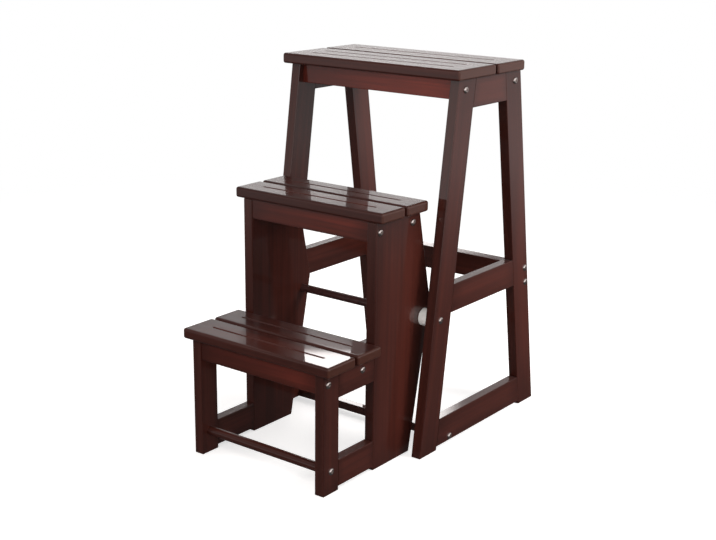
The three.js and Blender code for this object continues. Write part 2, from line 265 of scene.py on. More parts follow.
@dataclass(frozen=True)
class Board:
    """A straight board with eased edges, in axes of its own.

    The first axis runs along the board, the second across it and the third through it.

    Attributes:
        length: Size along the board.
        width: Size across the board.
        thickness: Size through the board.
        ease: Radius of the edges along the board.
        end_ease: Radius of the edges at its ends, the same at most.
        grooves: Grooves in the top.
        steps: Number of stretches in each rounded edge.
        corner_share: Radius of the section's corners as a share of the ease, over 1 so that they stay round
            where the ends draw them in.
    """

    length: float
    width: float
    thickness: float
    ease: float
    end_ease: float
    grooves: tuple[Groove, ...] = ()
    steps: int = 5
    corner_share: float = 1.05

    def shell(self) -> Shell:
        """Carries a rounded section along the board and draws it in at the ends by a quarter circle.

        Returns:
            The board in its own axes, with its grooves.
        """
        corner = self.corner_share * self.ease
        half = np.array([self.width, self.thickness]) / 2
        corners = [-half, [half[0], -half[1]], half, [-half[0], half[1]]]
        centre, radius, direction = rounded_outline(corners, [corner] * len(corners), self.steps)
        if self.grooves:
            across = np.unique(np.concatenate([groove.lines_across() for groove in self.grooves]))[::-1]
            top_left = (len(corners) - 1) * (self.steps + 1)
            line = np.stack([across, np.full(across.size, half[1] - corner)], axis=-1)
            centre = np.insert(centre, [top_left] * across.size, line, axis=0)
            radius = np.insert(radius, top_left, np.full(across.size, corner))
            direction = np.insert(direction, [top_left] * across.size, [0.0, 1.0], axis=0)

        turn = np.linspace(0, np.pi / 2, self.steps + 1)
        near_end = self.length / 2 - self.end_ease * (1 - np.cos(turn))
        drawn_in = self.end_ease * (1 - np.sin(turn))
        middle = np.unique(np.array([place for groove in self.grooves for place in groove.lines_along()]))
        flat = np.zeros(middle.size)
        along = np.concatenate([-near_end, middle, near_end[::-1]])
        inset = np.concatenate([drawn_in, flat, drawn_in[::-1]])
        lean = np.concatenate([-np.cos(turn), flat, np.cos(turn[::-1])])

        points = stacked(along, centre + (radius - inset[:, None])[..., None] * direction).reshape(-1, 3)
        normals = stacked(lean, np.sqrt(1 - lean[:, None, None] ** 2) * direction).reshape(-1, 3)
        ends = np.abs(normals[:, 0])
        if self.grooves:
            self._sink_grooves(points, normals)
        return Shell(points, capped_faces(along.size, radius.size), normals, points.copy(), ends)

    def _sink_grooves(self, points: np.ndarray, normals: np.ndarray) -> None:
        """Lowers the top along the grooves and tilts its normals by the slope, measured by small steps.

        Args:
            points: The board's points, which change.
            normals: Its normals, which change.
        """
        level = 0.999
        top = normals[:, 2] > level
        along, across = points[top, 0], points[top, 1]
        step = 0.001 * MM

        def drop(x: np.ndarray, y: np.ndarray) -> np.ndarray:
            """Adds up the depth of all the grooves."""
            return sum(groove.drop(x, y) for groove in self.grooves)

        slope_along = (drop(along + step, across) - drop(along - step, across)) / (2 * step)
        slope_across = (drop(along, across + step) - drop(along, across - step)) / (2 * step)
        points[top, 2] -= drop(along, across)
        tilted = np.stack([slope_along, slope_across, np.ones(along.size)], axis=-1)
        normals[top] = tilted / np.linalg.norm(tilted, axis=1, keepdims=True)


@dataclass(frozen=True)
class PiercedPlate:
    """A plate with a rounded outline, eased edges and one round hole, in axes of its own.

    The outline lies in the second and third axes, and the first runs through the plate.

    Attributes:
        corners: The outline's corners, anticlockwise.
        radii: A radius for each corner.
        thickness: Size through the plate.
        ease: Radius of the edges.
        hole: Middle of the hole.
        hole_radius: Radius of the hole.
        steps: Number of stretches in each rounded edge.
    """

    corners: np.ndarray
    radii: Sequence[float]
    thickness: float
    ease: float
    hole: np.ndarray
    hole_radius: float
    steps: int = 6

    def shell(self) -> Shell:
        """Carries the outline round the plate's wall: over an eased edge, along a face to the hole and back.

        Returns:
            The plate in its own axes.
        """
        centre, radius, direction = rounded_outline(self.corners, self.radii, self.steps)
        from_hole = centre + radius[:, None] * direction - self.hole
        towards = from_hole / np.linalg.norm(from_hole, axis=1, keepdims=True)
        turn = np.linspace(0, np.pi / 2, self.steps + 1)
        sine, cosine = np.sin(turn), np.cos(turn)
        half, lip = self.thickness / 2, self.ease / 2
        edge = centre + (radius - self.ease * (1 - cosine[:, None]))[..., None] * direction
        wall = self.hole + (self.hole_radius + lip * (1 - sine))[:, None, None] * towards
        points = self._there_and_back(
            stacked(half - self.ease * (1 - sine), edge), stacked(half - lip * (1 - cosine), wall))
        normals = self._there_and_back(
            stacked(sine, cosine[:, None, None] * direction), stacked(cosine, -sine[:, None, None] * towards))
        faces = grid_faces(len(points) // radius.size, radius.size, rows_close=True)
        return Shell(points, faces, normals, points[:, [2, 1, 0]], np.abs(normals[:, 2]))

    @staticmethod
    def _there_and_back(edge: np.ndarray, wall: np.ndarray) -> np.ndarray:
        """Follows the edge and the hole's wall to the plate's middle, and back mirrored on the other side."""
        there = np.concatenate([edge, wall])
        return np.concatenate([there, there[::-1] * [-1.0, 1.0, 1.0]]).reshape(-1, 3)


def turned_shell(profile: np.ndarray, sides: int, hollow: bool = False, facets: int = 0,
                 facet_rows: Sequence[int] = ()) -> Shell:
    """Turns a profile about the first axis.

    Args:
        profile: Rows of place along the axis and radius.
        sides: Number of points on each ring.
        hollow: Whether the profile closes on itself instead of on the axis.
        facets: Number of flats of the rings that are polygons.
        facet_rows: Rings that are polygons, whose radius is then that of the flats.

    Returns:
        The turned shell, shaded by the angles between its faces.
    """
    angle = np.arange(sides) / sides * 2 * np.pi
    radius = np.repeat(profile[:, 1:], sides, axis=1)
    if facets:
        flat = np.pi / facets
        radius[list(facet_rows)] /= np.cos((angle + flat) % (2 * flat) - flat)
    along = np.repeat(profile[:, :1], sides, axis=1)
    points = np.stack([along, radius * np.cos(angle), radius * np.sin(angle)], axis=-1).reshape(-1, 3)
    rows = len(profile)
    faces = grid_faces(rows, sides, rows_close=True) if hollow else capped_faces(rows, sides)
    return Shell(points, faces, None, points.copy(), np.zeros(len(points)))


class NodeSheet:
    """Adds and wires the nodes of one material, group or world."""

    def __init__(self, tree: bpy.types.NodeTree) -> None:
        """Empties the tree."""
        self.tree = tree
        tree.nodes.clear()

    def add(self, kind: str, inputs: dict[str | int, Feed] | None = None, **settings: Any) -> bpy.types.Node:
        """Adds a node.

        Args:
            kind: The node's type.
            inputs: A value or another node's output for each input, by name or number.
            **settings: Properties of the node.

        Returns:
            The new node.
        """
        node = self.tree.nodes.new(kind)
        for name, value in settings.items():
            setattr(node, name, value)
        for name, value in (inputs or {}).items():
            if isinstance(value, bpy.types.NodeSocket):
                self.tree.links.new(value, node.inputs[name])
            else:
                node.inputs[name].default_value = value
        return node

    def maths(self, operation: str, first: Feed, second: Feed, clamp: bool = False) -> bpy.types.NodeSocket:
        """Adds a Math node and gives its output."""
        node = self.add("ShaderNodeMath", {0: first, 1: second}, operation=operation, use_clamp=clamp)
        return node.outputs[0]

    def times(self, first: Feed, second: Feed) -> bpy.types.NodeSocket:
        """Multiplies two values and gives the output."""
        return self.maths("MULTIPLY", first, second)

    def plus(self, first: Feed, second: Feed) -> bpy.types.NodeSocket:
        """Adds two values and gives the output."""
        return self.maths("ADD", first, second)

    def blend(self, share: Feed, first: Feed, second: Feed) -> bpy.types.NodeSocket:
        """Mixes two colours by a Mix node, whose inputs 6 and 7 and output 2 are its colours.

        Args:
            share: Share of the second colour.
            first: The first colour.
            second: The second colour.

        Returns:
            The mixed colour.
        """
        one, other = (feed if isinstance(feed, bpy.types.NodeSocket) else (*feed, 1.0)
                      for feed in (first, second))
        return self.add("ShaderNodeMix", {0: share, 6: one, 7: other}, data_type="RGBA").outputs[2]

    def ramp(self, value: Feed, low: float, high: float) -> bpy.types.NodeSocket:
        """Stretches the range from low to high to 0 to 1, smoothly, and gives the output."""
        return self.add("ShaderNodeMapRange", {"Value": value, "From Min": low, "From Max": high},
                        interpolation_type="SMOOTHSTEP").outputs["Result"]

    def noise(self, place: Feed, detail: float, distortion: float = 0.0,
              scale: float = 1.0) -> bpy.types.NodeSocket:
        """Adds a Noise node and gives its value, from 0 to 1."""
        return self.add("ShaderNodeTexNoise", {
            "Vector": place, "Scale": scale, "Detail": detail, "Distortion": distortion}).outputs["Fac"]

    def stretched(self, place: Feed, scale: Sequence[float]) -> bpy.types.NodeSocket:
        """Scales the axes of a place one by one and gives the output."""
        return self.add("ShaderNodeMapping", {"Vector": place, "Scale": scale}).outputs["Vector"]

    def split(self, place: Feed) -> bpy.types.bpy_prop_collection:
        """Splits a place into X, Y and Z and gives the outputs."""
        return self.add("ShaderNodeSeparateXYZ", {"Vector": place}).outputs

    def light(self, kind: str, colour: Colour, strength: Feed) -> bpy.types.NodeSocket:
        """Adds a node that shines by itself and gives its output."""
        return self.add(kind, {"Color": (*colour, 1.0), "Strength": strength}).outputs[0]

    def choose(self, share: Feed, first: Feed, second: Feed) -> bpy.types.NodeSocket:
        """Mixes two shaders and gives the output."""
        return self.add("ShaderNodeMixShader", {0: share, 1: first, 2: second}).outputs[0]

    def attribute(self, name: str) -> bpy.types.NodeSocket:
        """Reads an attribute of the mesh as a vector and gives the output."""
        return self.add("ShaderNodeAttribute", attribute_name=name).outputs["Vector"]


def new_material(name: str) -> tuple[bpy.types.Material, NodeSheet]:
    """Makes an empty material and gives it with its sheet."""
    material = bpy.data.materials.new(name)
    material.use_nodes = True
    return material, NodeSheet(material.node_tree)


def new_group(name: str, inputs: dict[str, str], outputs: dict[str, str]) -> NodeSheet:
    """Makes an empty shader node group.

    Args:
        name: The group's name.
        inputs: Socket type of each input.
        outputs: Socket type of each output.

    Returns:
        The group's sheet, with nothing in it.
    """
    tree = bpy.data.node_groups.new(name, "ShaderNodeTree")
    for way, sockets in (("INPUT", inputs), ("OUTPUT", outputs)):
        for title, kind in sockets.items():
            tree.interface.new_socket(name=title, in_out=way, socket_type=kind)
    return NodeSheet(tree)


def darkening_group() -> bpy.types.NodeTree:
    """Makes the group that darkens a board towards its edges and ends, and paints shade over its left end.

    One mask grows towards its edges and ends, and the other, the painted shade, from its right end to its
    left.

    Returns:
        The group.
    """
    end_edge, side_edge, side_weight = (0.62, 1.05), (0.45, 1.1), 0.8
    painted_shade_edge = (1.0, -0.95)
    sheet = new_group("darkening", {"Span": "NodeSocketVector"},
                      {"Shade": "NodeSocketFloat", "PaintedShade": "NodeSocketFloat"})
    way = sheet.split(sheet.add("NodeGroupInput").outputs["Span"])
    along = sheet.ramp(sheet.maths("ABSOLUTE", way["X"], 0.0), *end_edge)
    across = sheet.ramp(sheet.maths("ABSOLUTE", way["Y"], 0.0), *side_edge)
    shade = sheet.maths("MAXIMUM", along, sheet.times(across, side_weight))
    sheet.add("NodeGroupOutput", {"Shade": shade, "PaintedShade": sheet.ramp(way["X"], *painted_shade_edge)})
    return sheet.tree


def timber_group() -> bpy.types.NodeTree:
    """Makes the group that draws wood: figure, streaks, pores and end grain.

    Figure is a slow noise drawn out along the board, streaks a fast one, pores the peaks of a finer one that
    is drawn out less, and end grain a set of bent lines across the board's ends.

    Returns:
        The group.
    """
    figure_share, figure_edge, ring_edge = 0.55, (0.36, 0.64), (0.2, 0.9)
    pore_edge, streak_relief = (0.62, 0.74), 0.4
    sheet = new_group(
        "timber", {"Grain": "NodeSocketVector", "Ends": "NodeSocketFloat", "Contrast": "NodeSocketFloat"},
        {"Figure": "NodeSocketFloat", "Pores": "NodeSocketFloat", "Relief": "NodeSocketFloat"})
    given = sheet.add("NodeGroupInput").outputs
    slow = sheet.noise(sheet.stretched(given["Grain"], FIGURE_SCALE), detail=3.0, distortion=1.2)
    streak = sheet.noise(sheet.stretched(given["Grain"], STREAK_SCALE), detail=4.0, distortion=0.3)
    pore = sheet.noise(sheet.stretched(given["Grain"], PORE_SCALE), detail=2.0)
    ring = sheet.add("ShaderNodeTexWave", {
        "Vector": sheet.stretched(given["Grain"], RING_SCALE), "Scale": 1.0, "Distortion": 5.0, "Detail": 3.0,
    }, bands_direction="Z").outputs["Fac"]
    both = sheet.plus(sheet.times(slow, figure_share), sheet.times(streak, 1 - figure_share))
    figure = sheet.add("ShaderNodeMix", {
        "Factor": given["Ends"], "A": sheet.ramp(both, *figure_edge), "B": sheet.ramp(ring, *ring_edge),
    }, data_type="FLOAT").outputs["Result"]
    middle = 0.5
    centred = sheet.maths("SUBTRACT", figure, middle)
    shown = sheet.maths("ADD", sheet.times(centred, given["Contrast"]), middle, clamp=True)
    pores = sheet.ramp(pore, *pore_edge)
    relief = sheet.maths("SUBTRACT", sheet.times(streak, streak_relief), pores)
    sheet.add("NodeGroupOutput", {"Figure": shown, "Pores": pores, "Relief": relief})
    return sheet.tree


@dataclass(frozen=True)
class LacqueredWood:
    """Stained wood under a coat of clear gloss lacquer.

    Attributes:
        name: The material's name.
        deep: Colour of the darker figure.
        light: Colour of the lighter figure.
        edge_shade: How strongly edges and ends are darkened.
        painted_left_shade: How strongly shade is painted over the left end, for the weaker light there.
        contrast: How strongly the figure shows.
        dark_tone_share: Brightness of the colour that edges, ends and the painted shade are drawn towards, as
            a share of deep.
        end_tone: Colour that end grain is drawn towards.
        end_share: How far it is drawn.
        pore_share: How far pores are drawn towards deep.
        roughness: Roughness of the darkest figure.
        roughness_spread: How much rougher the lightest figure is.
        relief: Height of the grain.
        relief_share: How much of it shows.
        specular: Level of the wood's own gloss, under the lacquer.
        coat_roughness: Roughness of the lacquer.
    """

    name: str
    deep: Colour
    light: Colour
    edge_shade: float = 0.4
    painted_left_shade: float = 0.0
    contrast: float = 0.7
    dark_tone_share: float = 0.45
    end_tone: Colour = srgb(98, 64, 50)
    end_share: float = 0.3
    pore_share: float = 0.4
    roughness: float = 0.34
    roughness_spread: float = 0.08
    relief: float = 0.15 * MM
    relief_share: float = 0.12
    specular: float = 0.15
    coat_roughness: float = 0.03

    def make(self, timber: bpy.types.NodeTree, darkening: bpy.types.NodeTree) -> bpy.types.Material:
        """Builds the material around the shared groups.

        Args:
            timber: The group that draws wood.
            darkening: The group that darkens its edges and ends and paints shade over its left end.

        Returns:
            The material.
        """
        material, sheet = new_material(self.name)
        ends = sheet.add("ShaderNodeAttribute", attribute_name="ends").outputs["Fac"]
        darkened = sheet.add("ShaderNodeGroup", {"Span": sheet.attribute("span")}, node_tree=darkening).outputs
        wood = sheet.add("ShaderNodeGroup", {
            "Grain": sheet.attribute("grain"), "Ends": ends, "Contrast": self.contrast,
        }, node_tree=timber).outputs
        dark_tone = tuple(self.dark_tone_share * channel for channel in self.deep)
        colour = sheet.blend(wood["Figure"], self.deep, self.light)
        # Draws the colour darker towards edges and ends, into painted shade towards the left end, then
        # towards end grain and pores.
        for share, tone in ((sheet.times(darkened["Shade"], self.edge_shade), dark_tone),
                            (sheet.times(darkened["PaintedShade"], self.painted_left_shade), dark_tone),
                            (sheet.times(ends, self.end_share), self.end_tone),
                            (sheet.times(wood["Pores"], self.pore_share), self.deep)):
            colour = sheet.blend(share, colour, tone)
        rough = sheet.plus(sheet.times(wood["Figure"], self.roughness_spread), self.roughness)
        bump = sheet.add("ShaderNodeBump", {
            "Strength": self.relief_share, "Distance": self.relief, "Height": wood["Relief"]})
        shader = sheet.add("ShaderNodeBsdfPrincipled", {
            "Base Color": colour, "Roughness": rough, "Normal": bump.outputs["Normal"],
            "IOR": LACQUER_IOR, "Specular IOR Level": self.specular, "Coat Weight": 1.0,
            "Coat Roughness": self.coat_roughness, "Coat IOR": LACQUER_IOR,
        })
        sheet.add("ShaderNodeOutputMaterial", {"Surface": shader.outputs["BSDF"]})
        return material


@dataclass(frozen=True)
class PlainFinish:
    """Metal, paint or plastic with a faint unevenness.

    Attributes:
        name: The material's name.
        colour: Its colour.
        shade: Colour of its darker patches.
        roughness: Lowest roughness.
        patch_size: Size of the patches.
        metallic: 1 for bare metal and 0 for the rest.
        spread: How much rougher its patches are.
        patch_edge: Values of the noise between which a patch begins.
        relief: Height of the patches.
        relief_share: How much of it shows.
    """

    name: str
    colour: Colour
    shade: Colour
    roughness: float
    patch_size: float
    metallic: float = 0.0
    spread: float = 0.1
    patch_edge: Edge = (0.4, 0.7)
    relief: float = 0.05 * MM
    relief_share: float = 0.1

    def make(self) -> bpy.types.Material:
        """Builds the material.

        Returns:
            The material.
        """
        material, sheet = new_material(self.name)
        place = sheet.add("ShaderNodeTexCoord").outputs["Object"]
        patches = sheet.noise(place, detail=3.0, scale=1 / self.patch_size)
        bump = sheet.add("ShaderNodeBump", {
            "Strength": self.relief_share, "Distance": self.relief, "Height": patches})
        shader = sheet.add("ShaderNodeBsdfPrincipled", {
            "Base Color": sheet.blend(sheet.ramp(patches, *self.patch_edge), self.colour, self.shade),
            "Roughness": sheet.plus(sheet.times(patches, self.spread), self.roughness),
            "Normal": bump.outputs["Normal"], "Metallic": self.metallic,
        })
        sheet.add("ShaderNodeOutputMaterial", {"Surface": shader.outputs["BSDF"]})
        return material


class Finishes:
    """Every finish of the stool, made once."""

    def __init__(self) -> None:
        """Makes the materials."""
        groups = (timber_group(), darkening_group())
        self.body = LacqueredWood("mahogany_body", srgb(56, 26, 21), srgb(82, 38, 30)).make(*groups)
        # The seat aprons take the step aprons' redder wood made about twice as bright, which is painted light
        # for the stronger light high on the front, and carry painted shade over their left ends.
        self.seat_apron_lit = LacqueredWood(
            "mahogany_seat_apron_lit", srgb(104, 40, 29), srgb(160, 62, 44), edge_shade=0.3, painted_left_shade=0.82,
        ).make(*groups)
        # The step aprons carry painted shade over their left ends.
        self.step_apron = LacqueredWood(
            "mahogany_step_apron", srgb(68, 28, 21), srgb(108, 42, 31), edge_shade=0.6, painted_left_shade=0.45,
        ).make(*groups)
        self.rod = PlainFinish(
            "dark_rod_paint", srgb(70, 42, 40), srgb(54, 32, 31), roughness=0.32, patch_size=6 * MM,
        ).make()
        self.chrome = PlainFinish(
            "bolt_chrome", srgb(224, 214, 210), srgb(200, 190, 186), roughness=0.16, patch_size=2 * MM,
            metallic=1.0,
        ).make()
        self.nylon = PlainFinish(
            "white_nylon", srgb(254, 253, 251), srgb(249, 248, 245), roughness=0.4, patch_size=3 * MM,
        ).make()


class NodeShape:
    """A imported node's corners, as the frame holds them."""

    level_gap = 0.05 * MM

    def __init__(self, node: bpy.types.Object) -> None:
        """Reads the node's vertices.

        Args:
            node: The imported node's object.
        """
        flat = np.zeros(len(node.data.vertices) * 3, np.float32)
        node.data.vertices.foreach_get("co", flat)
        self.points = flat.reshape(-1, 3).astype(float)
        self.low = self.points.min(axis=0)
        self.high = self.points.max(axis=0)
        self.size = self.high - self.low
        self.middle = (self.high + self.low) / 2

    def depth_at(self, height: float) -> tuple[float, float]:
        """Gives the lowest and highest Y among the vertices at a height."""
        level = self.points[np.abs(self.points[:, 2] - height) < self.level_gap, 1]
        return float(level.min()), float(level.max())


class Workshop:
    """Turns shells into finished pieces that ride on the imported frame."""

    def __init__(self, frame: dict[str, Any], finishes: Finishes) -> None:
        """Keeps the frame's nodes and which body each belongs to.

        Args:
            frame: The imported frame.
            finishes: The finishes.
        """
        self.nodes = frame["nodes"]
        self.finishes = finishes
        bodies = frame["record"]["behaviour"]["bodies"]
        self.body_of = {node: body for body, nodes in bodies.items() for node in nodes}
        self.joint = frame["joints"][0]
        self.random = np.random.default_rng(GRAIN_SEED)

    def shape(self, node: str) -> NodeShape:
        """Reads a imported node."""
        return NodeShape(self.nodes[node])

    def finish(self, node: str, shell: Shell, material: bpy.types.Material, slot: Slot) -> bpy.types.Object:
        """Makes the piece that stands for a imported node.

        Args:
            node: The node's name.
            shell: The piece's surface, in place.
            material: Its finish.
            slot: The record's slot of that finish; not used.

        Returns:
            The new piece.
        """
        mesh = bpy.data.meshes.new(f"{node}_surface")
        mesh.from_pydata(shell.points.tolist(), [], shell.faces)
        work = bmesh.new()
        work.from_mesh(mesh)
        if work.calc_volume(signed=True) < 0:
            bmesh.ops.reverse_faces(work, faces=work.faces)
            work.to_mesh(mesh)
        work.free()
        mesh.polygons.foreach_set("use_smooth", np.ones(len(mesh.polygons), bool))
        if shell.normals is None:
            mesh.set_sharp_from_angle(angle=SHARP_ANGLE)
        else:
            mesh.normals_split_custom_set_from_vertices(shell.normals.tolist())
        grain = shell.grain + self.random.uniform(0, GRAIN_SPREAD, 3)
        mesh.attributes.new("grain", "FLOAT_VECTOR", "POINT").data.foreach_set("vector", grain.ravel())
        mesh.attributes.new("ends", "FLOAT", "POINT").data.foreach_set("value", shell.ends)
        mesh.attributes.new("span", "FLOAT_VECTOR", "POINT").data.foreach_set("vector", shell.span.ravel())
        mesh.materials.append(material)
        piece = bpy.data.objects.new(f"{node}_finished", mesh)
        bpy.context.scene.collection.objects.link(piece)
        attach(piece, self.body_of[node])
        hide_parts(node)
        LOG.info("%s: %d faces", piece.name, len(mesh.polygons))
        return piece


@dataclass(frozen=True)
class SubAssembly:
    """Pieces of one kind.

    Attributes:
        shop: The workshop that finishes them.
    """

    shop: Workshop


@dataclass(frozen=True)
class SideBoards(SubAssembly):
    """Upright and level boards of the side frames and of the step unit's sides.

    Attributes:
        ease: Radius of their long edges.
        foot_ease: Radius of the edges at a leg's ends.
        joint_ease: Radius of the edges at a rail's ends, which butt against the legs.
        legs: Boards whose grain runs up.
        rails: Boards whose grain runs from front to back.
    """

    ease: float = 1.1 * MM
    foot_ease: float = 1.0 * MM
    joint_ease: float = 0.2 * MM
    legs: tuple[str, ...] = ("front_leg", "rear_leg", "step_leg")
    rails: tuple[str, ...] = ("top_rail", "mid_rail", "bottom_rail", "upper_rail", "lower_rail")

    def build(self) -> None:
        """Builds every leg and rail of both sides."""
        for side in SIDES:
            for name in self.legs:
                self._board(f"{side}_{name}", upright=True)
            for name in self.rails:
                self._board(f"{side}_{name}", upright=False)

    def _board(self, node: str, upright: bool) -> None:
        """Builds one board between the four slanted or square corners of its node.

        A place is a share of the way up and a share of the way back between the node's two slanted ends.

        Args:
            node: The node's name.
            upright: Whether the grain runs up.
        """
        shape = self.shop.shape(node)
        bottom, top = shape.low[2], shape.high[2]
        front, rear = np.array([shape.depth_at(bottom), shape.depth_at(top)]).T
        depth = float((rear - front).mean())
        height = top - bottom
        size = (height, depth) if upright else (depth, height)
        end_ease = self.foot_ease if upright else self.joint_ease
        board = Board(*size, shape.size[0], self.ease, end_ease)

        def place(points: np.ndarray) -> np.ndarray:
            """Maps along, across and through to the frame.

            Args:
                points: Places in the board's own axes.

            Returns:
                The same places in the frame.
            """
            up = points[:, 0 if upright else 1] / height + 0.5
            back = points[:, 1 if upright else 0] / depth + 0.5
            front_y, rear_y = (y[0] + (y[1] - y[0]) * up for y in (front, rear))
            x = shape.middle[0] + points[:, 2]
            return np.stack([x, front_y + (rear_y - front_y) * back, bottom + height * up], axis=-1)

        self.shop.finish(node, carried(board.shell(), place), self.shop.finishes.body, Slot.WOOD)


@dataclass(frozen=True)
class Panels(SubAssembly):
    """The step unit's tall side panels.

    Attributes:
        ease: Radius of their edges.
        corner: Radius of their square corners.
        apex_radius: Radius of the blunt corner behind the pivot.
        apex_reach: How far that corner's point lies behind the pivot.
        apex_rise: How far it lies above the pivot.
        clearance: Gap between the pivot rod and its hole.
    """

    ease: float = 1.8 * MM
    corner: float = 2 * MM
    apex_radius: float = 24 * MM
    apex_reach: float = 21 * MM
    apex_rise: float = 22.5 * MM
    clearance: float = 0.4 * MM

    def build(self) -> None:
        """Builds both panels."""
        pivot = np.array(self.shop.joint["pos_m"][1:])
        hole_radius = self.shop.shape("pivot_rod").size[2] / 2 + self.clearance
        radii = [self.corner, self.corner, self.apex_radius, self.corner, self.corner]
        for side in SIDES:
            node = f"{side}_panel"
            shape = self.shop.shape(node)
            front, top = shape.low[1], shape.high[2]
            corners = np.array([
                [front, 0.0],
                [shape.depth_at(0.0)[1], 0.0],
                pivot + [self.apex_reach, self.apex_rise],
                [shape.depth_at(top)[1], top],
                [front, top],
            ])
            plate = PiercedPlate(corners, radii, shape.size[0], self.ease, pivot, hole_radius)
            shell = moved(plate.shell(), np.array([shape.middle[0], 0.0, 0.0]))
            self.shop.finish(node, shell, self.shop.finishes.body, Slot.WOOD)


@dataclass(frozen=True)
class Treads(SubAssembly):
    """Boards of the seat and of both steps.

    Attributes:
        ease: Radius of their edges.
        groove_radius: Half the width of a groove.
        groove_depth: Depth of a groove.
        groove_margin: Distance from a groove to the board's end.
        grooves: Number of grooves in each board.
    """

    ease: float = 4 * MM
    groove_radius: float = 3.0 * MM
    groove_depth: float = 2.4 * MM
    groove_margin: float = 35 * MM
    grooves: dict[str, int] = field(default_factory=lambda: {
        "seat_front_board": 2, "seat_rear_board": 1, "second_front_board": 1,
        "second_rear_board": 1, "first_front_board": 1, "first_rear_board": 1,
    })

    def build(self) -> None:
        """Builds the six boards."""
        for node, count in self.grooves.items():
            shape = self.shop.shape(node)
            length, width, thickness = shape.size
            reach = length / 2 - self.groove_margin - self.groove_radius
            offsets = width * (np.arange(1, count + 1) / (count + 1) - 0.5)
            grooves = tuple(Groove(float(offset), reach, self.groove_radius, self.groove_depth)
                            for offset in offsets)
            board = Board(length, width, thickness, self.ease, self.ease, grooves)
            self.shop.finish(node, moved(board.shell(), shape.middle), self.shop.finishes.body, Slot.WOOD)


@dataclass(frozen=True)
class CrossMembers(SubAssembly):
    """Aprons, stretchers, bars and the pivot rod between the sides.

    Attributes:
        ease: Radius of their long edges.
        joint_ease: Radius of the edges at their ends.
        seat_aprons: Members under the seat.
        step_aprons: Members under the steps.
        round_sides: Number of points round the step stretcher and the pivot rod.
    """

    ease: float = 1.4 * MM
    joint_ease: float = 0.2 * MM
    seat_aprons: tuple[str, ...] = ("seat_front_apron", "seat_rear_apron")
    step_aprons: tuple[str, ...] = (
        "second_front_apron", "second_rear_apron", "first_front_apron", "first_rear_apron",
    )
    round_sides: int = 64

    def build(self) -> None:
        """Builds every cross member."""
        # The seat aprons take the wood made brighter by painted light.
        for node in self.seat_aprons:
            self._square(node, self.shop.finishes.seat_apron_lit)
        for node in self.step_aprons:
            self._square(node, self.shop.finishes.step_apron)
        self._square("lower_bar", self.shop.finishes.body)
        self._square("rear_stretcher", self.shop.finishes.body, self._lean())
        self._round("step_stretcher", self.shop.finishes.body, Slot.WOOD)
        self._round("pivot_rod", self.shop.finishes.rod, Slot.ROD)

    def _lean(self) -> float:
        """Gives the angle by which the rear legs lean forward."""
        leg = self.shop.shape("right_rear_leg")
        return math.atan2(leg.depth_at(leg.low[2])[1] - leg.depth_at(leg.high[2])[1], leg.size[2])

    def _square(self, node: str, material: bpy.types.Material, lean: float = 0.0) -> None:
        """Builds a square member.

        Its node is as deep and as high as the leaning section's corners reach, which gives the section.

        Args:
            node: The node's name.
            material: Its finish.
            lean: Angle by which its top leans forward.
        """
        shape = self.shop.shape(node)
        sine, cosine = math.sin(lean), math.cos(lean)
        thickness, height = np.linalg.solve([[cosine, sine], [sine, cosine]], shape.size[1:])
        board = Board(shape.size[0], height, thickness, self.ease, self.joint_ease)
        turn = np.array([[1.0, 0.0, 0.0], [0.0, -sine, cosine], [0.0, -cosine, -sine]])

        def place(points: np.ndarray) -> np.ndarray:
            """Turns across to up and through to front, by the lean."""
            return shape.middle + points @ turn

        self.shop.finish(node, carried(board.shell(), place), material, Slot.WOOD)

    def _round(self, node: str, material: bpy.types.Material, slot: Slot) -> None:
        """Turns a round bar or rod.

        Args:
            node: The node's name.
            material: Its finish.
            slot: The record's slot of that finish.
        """
        shape = self.shop.shape(node)
        half, radius = shape.size[0] / 2, shape.size[2] / 2
        shell = turned_shell(np.array([[-half, radius], [half, radius]]), self.round_sides)
        self.shop.finish(node, moved(shell, shape.middle), material, slot)


